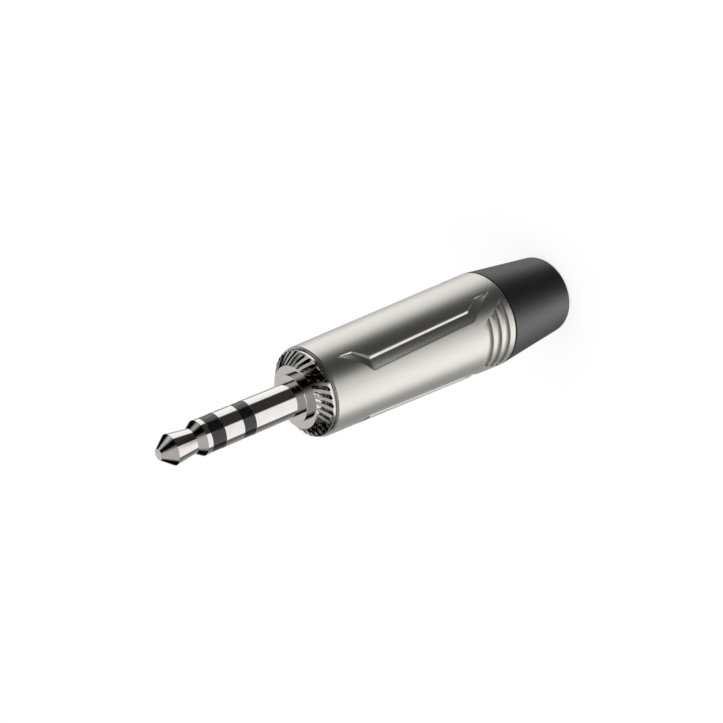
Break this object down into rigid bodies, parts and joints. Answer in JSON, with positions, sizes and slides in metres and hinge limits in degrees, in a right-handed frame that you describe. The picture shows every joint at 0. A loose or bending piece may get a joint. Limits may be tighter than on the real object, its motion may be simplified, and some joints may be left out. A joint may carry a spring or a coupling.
{
  "type": "stereo jack plug",
  "caption": "Straight stereo jack plug with a stepped three-conductor pin, a fluted nose, a tapered metal shell with raised panels, and a tapered black screw-on boot with a cable inlet.",
  "frame": {"origin": "centre of the boot's rear face, on which the plug stands", "axes": "+Z along the pin toward the tip; +Y out of the middle of one raised panel of the shell; +X out of the middle of one grip side"},
  "size_m": [0.0108, 0.0108, 0.0522],
  "materials": {
    "plated_contact": "bright nickel plate on turned brass",
    "plated_nose": "bright plate on die-cast metal",
    "satin_nickel": "satin nickel plate",
    "black_insulator": "gloss black moulded plastic",
    "washer_board": "dark brown laminate",
    "tinned_brass": "tinned sheet brass",
    "liner_plastic": "black tube",
    "chuck_plastic": "dark moulded plastic",
    "boot_plastic": "satin black moulded plastic"
  },
  "bodies": {
    "shell": {"shell": "satin_nickel"},
    "liner": {"liner": "liner_plastic"},
    "insert": {"tip_contact": "plated_contact", "tip_insulator": "black_insulator", "ring_contact": "plated_contact", "ring_insulator": "black_insulator", "sleeve_contact": "plated_contact", "nose_body": "plated_nose", "ground_tag": "tinned_brass", "ring_washer": "washer_board", "ring_tag": "tinned_brass", "tip_washer": "washer_board", "tip_tag": "tinned_brass"},
    "chuck": {"chuck": "chuck_plastic"},
    "boot": {"boot": "boot_plastic"}
  },
  "joints": [
    {"name": "insert_travel", "type": "slide", "parent": "shell", "child": "liner", "axis": [0, 0, 1], "range_m": [0, 0.003]},
    {"name": "insert_turn", "type": "hinge", "parent": "liner", "child": "insert", "pos_m": [0, 0, 0], "axis": [0, 0, 1], "range_deg": [0, 1440]},
    {"name": "boot_travel", "type": "slide", "parent": "shell", "child": "chuck", "axis": [0, 0, -1], "range_m": [0, 0.0045]},
    {"name": "boot_turn", "type": "hinge", "parent": "chuck", "child": "boot", "pos_m": [0, 0, 0], "axis": [0, 0, -1], "range_deg": [0, 2160]}
  ],
  "couplings": [
    {"joint": "insert_turn", "follows": "insert_travel", "rad_per_m": 8377.5},
    {"joint": "boot_turn", "follows": "boot_travel", "rad_per_m": 8377.5}
  ]
}
